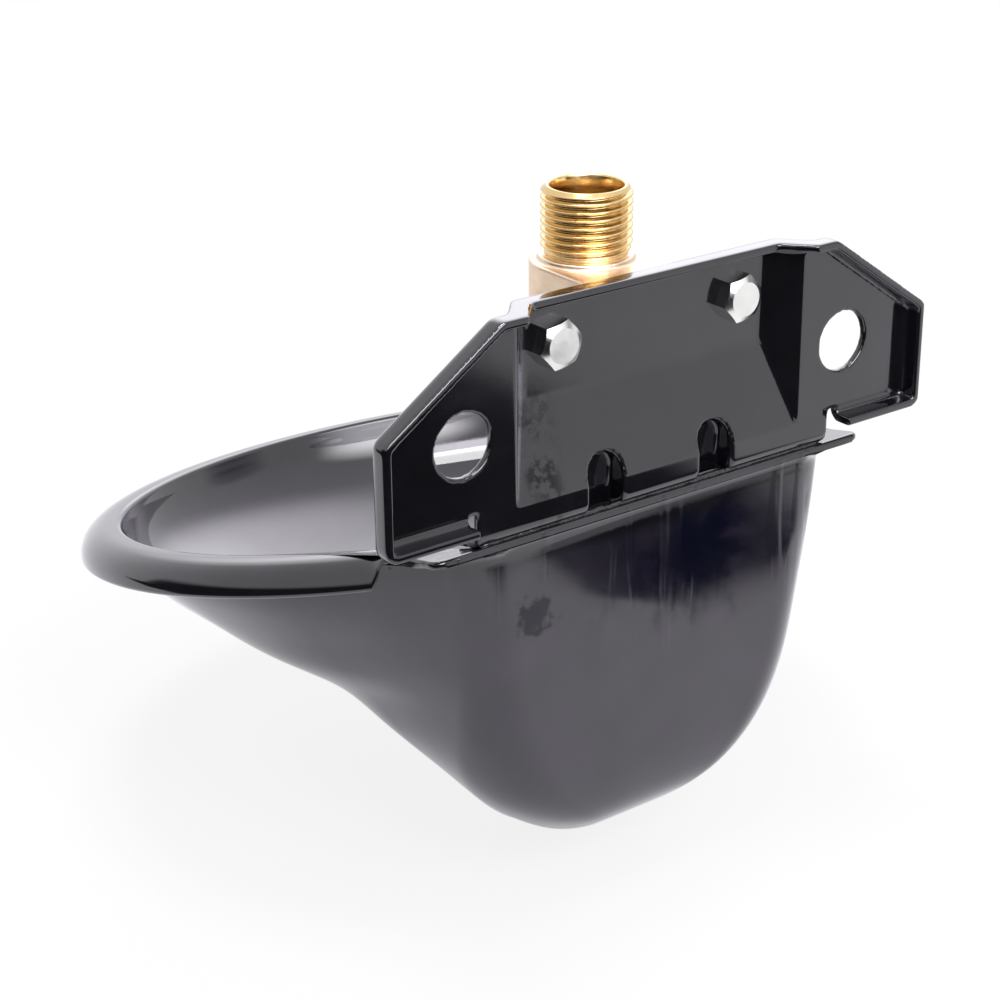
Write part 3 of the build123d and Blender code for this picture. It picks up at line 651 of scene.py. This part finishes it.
class Nodes:
    """Short names for building the node tree of a material or world."""

    def __init__(self, owner, shader="Principled BSDF", place="Object"):
        owner.use_nodes = True
        self.owner = owner
        self.tree = owner.node_tree
        self.shader = self.tree.nodes[shader]
        self.place = self.new("TexCoord").outputs[place]

    def new(self, kind):
        return self.tree.nodes.new("ShaderNode" + kind)

    def feed(self, value, socket):
        """Links an output to a socket, or writes a number or colour on it."""
        if isinstance(value, bpy.types.NodeSocket):
            self.tree.links.new(value, socket)
        else:
            socket.default_value = (*value, 1) if isinstance(value, tuple) else value

    def noise(self, scale, detail=4.0, roughness=0.55, stretch=None, distortion=0.0):
        place = self.place
        if stretch:
            mapping = self.new("Mapping")
            mapping.inputs["Scale"].default_value = stretch
            self.feed(place, mapping.inputs["Vector"])
            place = mapping.outputs["Vector"]
        node = self.new("TexNoise")
        for key, value in (("Scale", scale), ("Detail", detail), ("Roughness", roughness),
                           ("Distortion", distortion), ("Vector", place)):
            self.feed(value, node.inputs[key])
        return node.outputs["Fac"]

    def between(self, value, low, high, new_low=0.0, new_high=1.0):
        """A soft step of a value, from new_low at low to new_high at high."""
        node = self.new("MapRange")
        node.interpolation_type = "SMOOTHSTEP"
        for key, number in (("From Min", low), ("From Max", high), ("To Min", new_low),
                            ("To Max", new_high), ("Value", value)):
            self.feed(number, node.inputs[key])
        return node.outputs["Result"]

    def ramp(self, value, *stops):
        """Colours along a value, given as places with a colour each."""
        node = self.new("ValToRGB")
        for element, (at, color) in zip(node.color_ramp.elements, stops):
            element.position = at
            element.color = (*color, 1)
        self.feed(value, node.inputs["Fac"])
        return node.outputs["Color"]

    def math(self, operation, *values):
        """A Math node of one or two values, or a chain of them for more."""
        node = self.new("Math")
        node.operation = operation
        for socket, value in zip(node.inputs, values[:2]):
            self.feed(value, socket)
        result = node.outputs["Value"]
        return self.math(operation, result, *values[2:]) if values[2:] else result

    def add(self, *values):
        return self.math("ADD", *values)

    def times(self, *values):
        return self.math("MULTIPLY", *values)

    def less(self, whole, value):
        return self.math("SUBTRACT", whole, value)

    def length(self, a, b):
        """Length of a vector with two parts."""
        return self.math("SQRT", self.add(self.times(a, a), self.times(b, b)))

    def mix(self, factor, a, b):
        node = self.new("Mix")
        node.data_type = "RGBA"
        for key, value in (("Factor", factor), ("A", a), ("B", b)):
            self.feed(value, node.inputs[key])
        return node.outputs["Result"]

    def split(self, vector):
        """The three parts of a vector."""
        node = self.new("SeparateXYZ")
        self.feed(vector, node.inputs["Vector"])
        return node.outputs["X"], node.outputs["Y"], node.outputs["Z"]

    def bump(self, height, strength, distance, before=None):
        node = self.new("Bump")
        node.inputs["Strength"].default_value = strength
        node.inputs["Distance"].default_value = distance
        self.feed(height, node.inputs["Height"])
        if before is not None:
            self.feed(before, node.inputs["Normal"])
        return node.outputs["Normal"]

    def glow(self, strength):
        """A white emission, which can be seen or mirrored."""
        node = self.new("Emission")
        node.inputs["Color"].default_value = (1, 1, 1, 1)
        node.inputs["Strength"].default_value = strength
        return node.outputs["Emission"]

    def blend(self, factor, first, second):
        """A mix of two shaders."""
        node = self.new("MixShader")
        for socket, value in zip(node.inputs, (factor, first, second)):
            self.feed(value, socket)
        return node.outputs["Shader"]


def new_nodes(name):
    """The node tree of a new material."""
    return Nodes(bpy.data.materials.new(name))


def finish_material(n, color, rough, normal, **plain):
    """Connects what varies and sets what doesn't."""
    for key, output in (("Base Color", color), ("Roughness", rough), ("Normal", normal)):
        n.feed(output, n.shader.inputs[key])
    for name, value in plain.items():
        n.shader.inputs[name.replace("_", " ")].default_value = value
    return n.owner


def bowl_marks_and_painted_reflection(n, cloud, tone, gloss, waves):
    """Blotches and a spot on the bowl's back, partly enamel marks and partly painted dark
    reflection, then runs, the flare at the seam and the inside's lean.
    """
    x, y, z = n.split(n.place)
    behind = n.between(y, *BACK)
    drips = n.noise(75, 4.0, 0.6, stretch=(1.0, 1.0, 0.4))
    ragged = n.add(z, n.times(drips, 0.045))
    high = n.times(n.between(ragged, *BLOTCH_AND_PAINTED_REFLECTION_BOTTOM), n.between(z, *BLOTCH_AND_PAINTED_REFLECTION_TOP))
    right = n.between(n.add(x, n.times(n.noise(45, 3.0, 0.6), 0.03)), *BLOTCH_AND_PAINTED_REFLECTION_SIDE)
    runs = n.noise(105, 2.0, 0.5, stretch=(1.0, 1.0, 0.12), distortion=0.5)
    runs = n.times(n.between(runs, 0.56, 0.66), n.between(z, *RUN_HEIGHTS))
    clouds = n.between(n.noise(36, 5.0, 0.62, distortion=0.4), 0.40, 0.56)
    patch = n.times(high, right, clouds, n.less(1.0, n.times(runs, 0.75)))
    spot = n.length(n.add(x, -SPOT_X), n.add(z, -SPOT_Z))
    spot = n.between(n.add(spot, n.times(n.noise(260, 5.0, 0.65), 0.014)), *SPOT_RADIUS)
    # painted dark reflection mixed with enamel blotches: the blotches and spot darken the tone and
    # dull the gloss
    blotch_and_painted_reflection_mask = n.times(n.math("MAXIMUM", patch, spot), behind)
    outside = n.mix(cloud, (0.011, 0.010, 0.015), (0.018, 0.016, 0.024))
    outer = n.between(n.add(z, n.times(y, RIM_SLOPE)), *UNDER_RIM)
    # the navy-black tone of the blotches and spot is partly painted dark reflection
    tone = n.mix(outer, tone, n.mix(blotch_and_painted_reflection_mask, outside, (0.0025, 0.003, 0.010)))
    gloss = n.less(gloss, n.times(blotch_and_painted_reflection_mask, 0.45))
    relief = n.add(n.times(runs, 0.7), n.times(n.between(z, *SEAM_FLARE), 1.1))
    facing = n.split(n.new("NewGeometry").outputs["Normal"])[1]
    inside = n.times(n.between(y, *INSIDE), n.between(facing, 0.0, 0.3))
    lean = n.times(n.add(z, INSIDE_LEVEL), INSIDE_LEAN)
    return tone, gloss, n.add(waves, n.times(relief, behind), n.times(inside, lean))


def bracket_marks(n, cloud, tone, gloss, waves):
    """A grainy dull band beside the bracket's recess."""
    x, y, z = n.split(n.place)
    grain = n.between(n.noise(300, 5.0, 0.7), 0.46, 0.56)
    band = n.times(n.between(x, *STAIN_LEFT), n.between(x, *STAIN_RIGHT), n.between(z, *STAIN_TOP))
    stain = n.times(band, grain, n.between(n.noise(60, 2.0, 0.5), 0.38, 0.55))
    return tone, n.less(gloss, n.times(stain, 0.6)), waves


def enamel(name, marks):
    """Black vitreous enamel: orange peel, faint cloudiness and the marks of its piece, which on the
    bowl are partly painted dark reflection.
    """
    n = new_nodes(name)
    cloud = n.between(n.noise(34, 5.0, 0.6), 0.3, 0.7)
    tone = n.mix(cloud, (0.0035, 0.0035, 0.0045), (0.0075, 0.007, 0.009))
    rough = n.between(n.noise(60, 4.0, 0.6), 0.3, 0.7, 0.07, 0.16)
    gloss = n.between(n.noise(48, 4.0, 0.6), 0.2, 0.8, 1.0, 0.9)
    tone, gloss, waves = marks(n, cloud, tone, gloss, n.noise(24, 3.0, 0.5))
    n.feed(gloss, n.shader.inputs["Coat Weight"])
    n.feed(n.times(gloss, 0.5), n.shader.inputs["Specular IOR Level"])
    normal = n.bump(waves, 0.22, 0.0013)
    normal = n.bump(n.noise(420, 2.0, 0.5), 0.08, 0.00010, normal)
    return finish_material(n, tone, rough, normal, IOR=1.5, Coat_Roughness=0.04,
                           Coat_Tint=(0.93, 0.90, 1.0, 1.0))


def metal(name, pale, deep, clouds, worn, skin):
    """A metal: clouds of two tones, worn patches of two roughnesses, and what its skin adds."""
    n = new_nodes(name)
    scale, detail, low, high = clouds
    color = n.ramp(n.noise(scale, detail, 0.6), (low, deep), (high, pale))
    scale, detail, low, high = worn
    rough = n.between(n.noise(scale, detail, 0.6), 0.3, 0.7, low, high)
    color, normal = skin(n, color)
    return finish_material(n, color, rough, normal, Metallic=1.0)


def cast_skin(n, color):
    """Fine grain and a few dark pits."""
    normal = n.bump(n.noise(900, 4.0, 0.7), 0.35, 0.00018)
    pits = n.between(n.noise(380, 2.0, 0.5), 0.70, 0.78)
    return n.mix(pits, color, (0.32, 0.20, 0.10)), normal


def turned_skin(n, color):
    """Fine rings square to the axis."""
    return color, n.bump(n.noise(150, 2.0, 0.5, stretch=(1.0, 1.0, 14.0)), 0.25, 0.00006)


def brass(name, pale, deep, low, high, skin):
    """Brass with a cast or a turned skin."""
    return metal(name, pale, deep, (70, 5.0, 0.25, 0.75), (200, 3.0, low, high), skin)


def steel(name, pale, deep, low, high, stretch):
    """Bare or zinc-plated steel with faint directional scratches."""

    def scratches(n, color):
        return color, n.bump(n.noise(500, 2.0, 0.6, stretch=(1.0, 1.0, stretch)), 0.22, 0.00005)

    return metal(name, pale, deep, (90, 4.0, 0.3, 0.7), (160, 4.0, low, high), scratches)


def dull(name, pale, deep, low, high, scale):
    """Rubber, fibre or plastic with a fine uneven skin."""
    n = new_nodes(name)
    color = n.ramp(n.noise(scale, 4.0, 0.6), (0.3, deep), (0.7, pale))
    rough = n.between(n.noise(scale * 2, 3.0, 0.6), 0.3, 0.7, low, high)
    return finish_material(n, color, rough, n.bump(n.noise(scale * 6, 2.0, 0.5), 0.2, 0.00006))


# Maker, slot and look: pale and deep tone, low and high roughness, then the skin or its scale
LOOKS = (
    (enamel, "enamel_bowl", bowl_marks_and_painted_reflection),
    (enamel, "enamel_bracket", bracket_marks),
    (brass, "cast_brass", (0.93, 0.77, 0.62), (0.83, 0.63, 0.46), 0.28, 0.44, cast_skin),
    (brass, "turned_brass", (0.88, 0.66, 0.36), (0.74, 0.50, 0.22), 0.14, 0.28, turned_skin),
    (steel, "zinc_bolt", (0.93, 0.93, 0.92), (0.82, 0.82, 0.82), 0.14, 0.28, 1.0),
    (steel, "strainer_steel", (0.72, 0.72, 0.73), (0.58, 0.58, 0.60), 0.25, 0.42, 3.0),
    (steel, "ring_steel", (0.58, 0.58, 0.60), (0.40, 0.40, 0.42), 0.25, 0.42, 3.0),
    (steel, "tube_steel", (0.74, 0.74, 0.75), (0.62, 0.62, 0.64), 0.16, 0.30, 8.0),
    (dull, "black_rubber", (0.030, 0.030, 0.031), (0.018, 0.018, 0.019), 0.55, 0.75, 120),
    (dull, "white_plastic", (0.80, 0.79, 0.75), (0.74, 0.73, 0.69), 0.35, 0.5, 90),
    (dull, "fibre_gasket", (0.34, 0.09, 0.05), (0.22, 0.06, 0.03), 0.7, 0.9, 260),
)
MATERIALS = {slot: maker(slot, *look) for maker, slot, *look in LOOKS}
MATERIALS["enamel_weld"] = MATERIALS["enamel_bracket"]


def dress(piece, slot):
    """Gives a piece the material of a slot."""
    piece.data.materials.clear()
    piece.data.materials.append(MATERIALS[slot])


def dress_nodes():
    """Every CAD node gets the material of its slot."""
    for part in frame["record"]["subparts"]:
        node = frame["nodes"][part["node"]]
        material = MATERIALS[part["material_slot"]]
        if not node.material_slots:
            node.data.materials.append(material)
        for holder in node.material_slots:
            holder.material = material


def put_on_frame(piece, slot, replaced=None, look=None):
    """Adds a piece to the frame, in place of a CAD node where one is named."""
    dress(piece, look or slot)
    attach(piece, "frame")
    if replaced:
        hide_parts(replaced)


def round_bolt_edges():
    """Small bevels on the bolts' edges."""
    bevel = frame["nodes"]["valve_bolts"].modifiers.new("edges", "BEVEL")
    bevel.width = BOLT_EDGE * MM
    bevel.segments = 3
    bevel.limit_method = "ANGLE"
    bevel.angle_limit = radians(25)


# Camera


def camera():
    """The photograph's view."""
    azimuth, elevation, roll = (radians(a) for a in (VIEW_AZIMUTH, VIEW_ELEVATION, VIEW_ROLL))
    back = Vector((sin(azimuth) * cos(elevation), -cos(azimuth) * cos(elevation), sin(elevation)))
    level_right = Vector((cos(azimuth), sin(azimuth), 0))
    level_up = back.cross(level_right)
    right = level_right * cos(roll) + level_up * sin(roll)
    up = -level_right * sin(roll) + level_up * cos(roll)
    target = level_right * VIEW_RIGHT + level_up * VIEW_UP
    data = bpy.data.cameras.new("photo_view")
    data.sensor_width = SENSOR
    data.lens = SENSOR * FOCAL_PIXELS / IMAGE_PIXELS
    data.clip_start, data.clip_end = 0.01, 30
    seat = link_object("photo_view", data)
    place = (target + back * VIEW_DISTANCE) * MM
    seat.matrix_world = Matrix((
        (right.x, up.x, back.x, place.x),
        (right.y, up.y, back.y, place.y),
        (right.z, up.z, back.z, place.z),
        (0, 0, 0, 1)))
    bpy.context.scene.camera = seat


# Studio


def studio_floor():
    """A wide pale floor, nearly white to the camera, mirrored white with a dark far side."""
    half, z = FLOOR_HALF, cad_low.z / MM - FLOOR_BELOW
    corners = [(-half, -half, z), (half, -half, z), (half, half, z), (-half, half, z)]
    floor = make_object("studio_floor", corners, [(0, 1, 2, 3)], smooth=False)
    n = new_nodes("studio_floor")
    n.shader.inputs["Base Color"].default_value = (*FLOOR_COLOR, 1)
    n.shader.inputs["Roughness"].default_value = FLOOR_ROUGHNESS
    rays = n.new("LightPath").outputs
    x, y = n.split(n.place)[:2]

    inlet = n.times(n.between(x, *DARK_FLOOR_STEP_X), DARK_FLOOR_STEP)
    beside = n.times(n.math("MAXIMUM", n.less(x, DARK_FLOOR_CORNER), 0.0), DARK_FLOOR_SLANT)
    dark = n.times(n.between(x, *DARK_FLOOR_X), n.between(n.add(y, inlet, beside), *DARK_FLOOR_Y))
    away = n.length(n.add(x, -FLOOR_MIDDLE[0]), n.add(y, -FLOOR_MIDDLE[1]))
    shade = n.add(*(n.between(away, far, near, 0.0, depth) for far, near, depth in FLOOR_SHADES))

    mirrored = n.times(rays["Is Glossy Ray"], n.less(1.0, shade))
    white = n.add(n.times(rays["Is Camera Ray"], CAMERA_WHITE), mirrored)
    pale = n.blend(white, n.shader.outputs["BSDF"], n.glow(1.0))
    hidden = n.times(rays["Is Glossy Ray"], dark)
    surface = n.blend(hidden, pale, n.glow(MIRRORED_BLACK))
    n.feed(surface, n.tree.nodes["Material Output"].inputs["Surface"])
    floor.data.materials.append(n.owner)


def soft_box(name, place, aim, size, power, mirrored):
    """A large rectangular lamp; one that isn't mirrored lights without showing in the gloss."""
    data = bpy.data.lights.new(name, "AREA")
    data.shape = "RECTANGLE"
    data.size, data.size_y = size
    data.energy = power
    lamp = link_object(name, data)
    lamp.location = place
    lamp.visible_glossy = mirrored
    lamp.rotation_euler = (Vector(aim) - Vector(place)).to_track_quat("-Z", "Y").to_euler()


def world():
    """White to the camera and in reflections, apart from the room's dark side; pale as light."""
    sky = bpy.data.worlds.new("studio")
    bpy.context.scene.world = sky
    n = Nodes(sky, "Background", "Generated")
    n.shader.inputs["Color"].default_value = (1, 1, 1, 1)
    rays = n.new("LightPath").outputs
    x, y, z = n.split(n.place)
    ahead = n.add(n.times(x, sin(DARK_SIDE)), n.times(y, cos(DARK_SIDE)))
    dark = n.times(n.between(ahead, *DARK_EDGE), n.between(z, *DARK_HEIGHTS))
    mirrored = n.less(MIRRORED_WHITE - PALE_LIGHT, n.times(dark, MIRRORED_WHITE - MIRRORED_BLACK))
    for heading, height, reach, bright in GLOWS:
        aim = (sin(heading) * cos(height), cos(heading) * cos(height), sin(height))
        near = n.add(*(n.times(part, number) for part, number in zip((x, y, z), aim)))
        mirrored = n.add(mirrored, n.times(n.between(near, cos(reach), 1.0), bright))
    strength = n.add(PALE_LIGHT, n.times(rays["Is Glossy Ray"], mirrored),
                     n.times(rays["Is Camera Ray"], 1.0 - PALE_LIGHT))
    n.feed(strength, n.shader.inputs["Strength"])


# The scene

dress_nodes()
put_on_frame(make_bowl(), "enamel_bowl", "bowl")
bracket = remesh(softened_copy("bracket", "bracket_skin"), *BRACKET_GRAIN)
put_on_frame(bracket, "enamel_bracket", "bracket")
put_on_frame(make_weld(), "enamel_weld", "bracket_welds")
put_on_frame(make_valve_block(), "cast_brass", "valve_body")
put_on_frame(make_thread(), "cast_brass", look="turned_brass")
round_bolt_edges()

camera()
studio_floor()
world()
for lamp in LAMPS:
    soft_box(*lamp)

bpy.context.scene.view_settings.view_transform = "Standard"
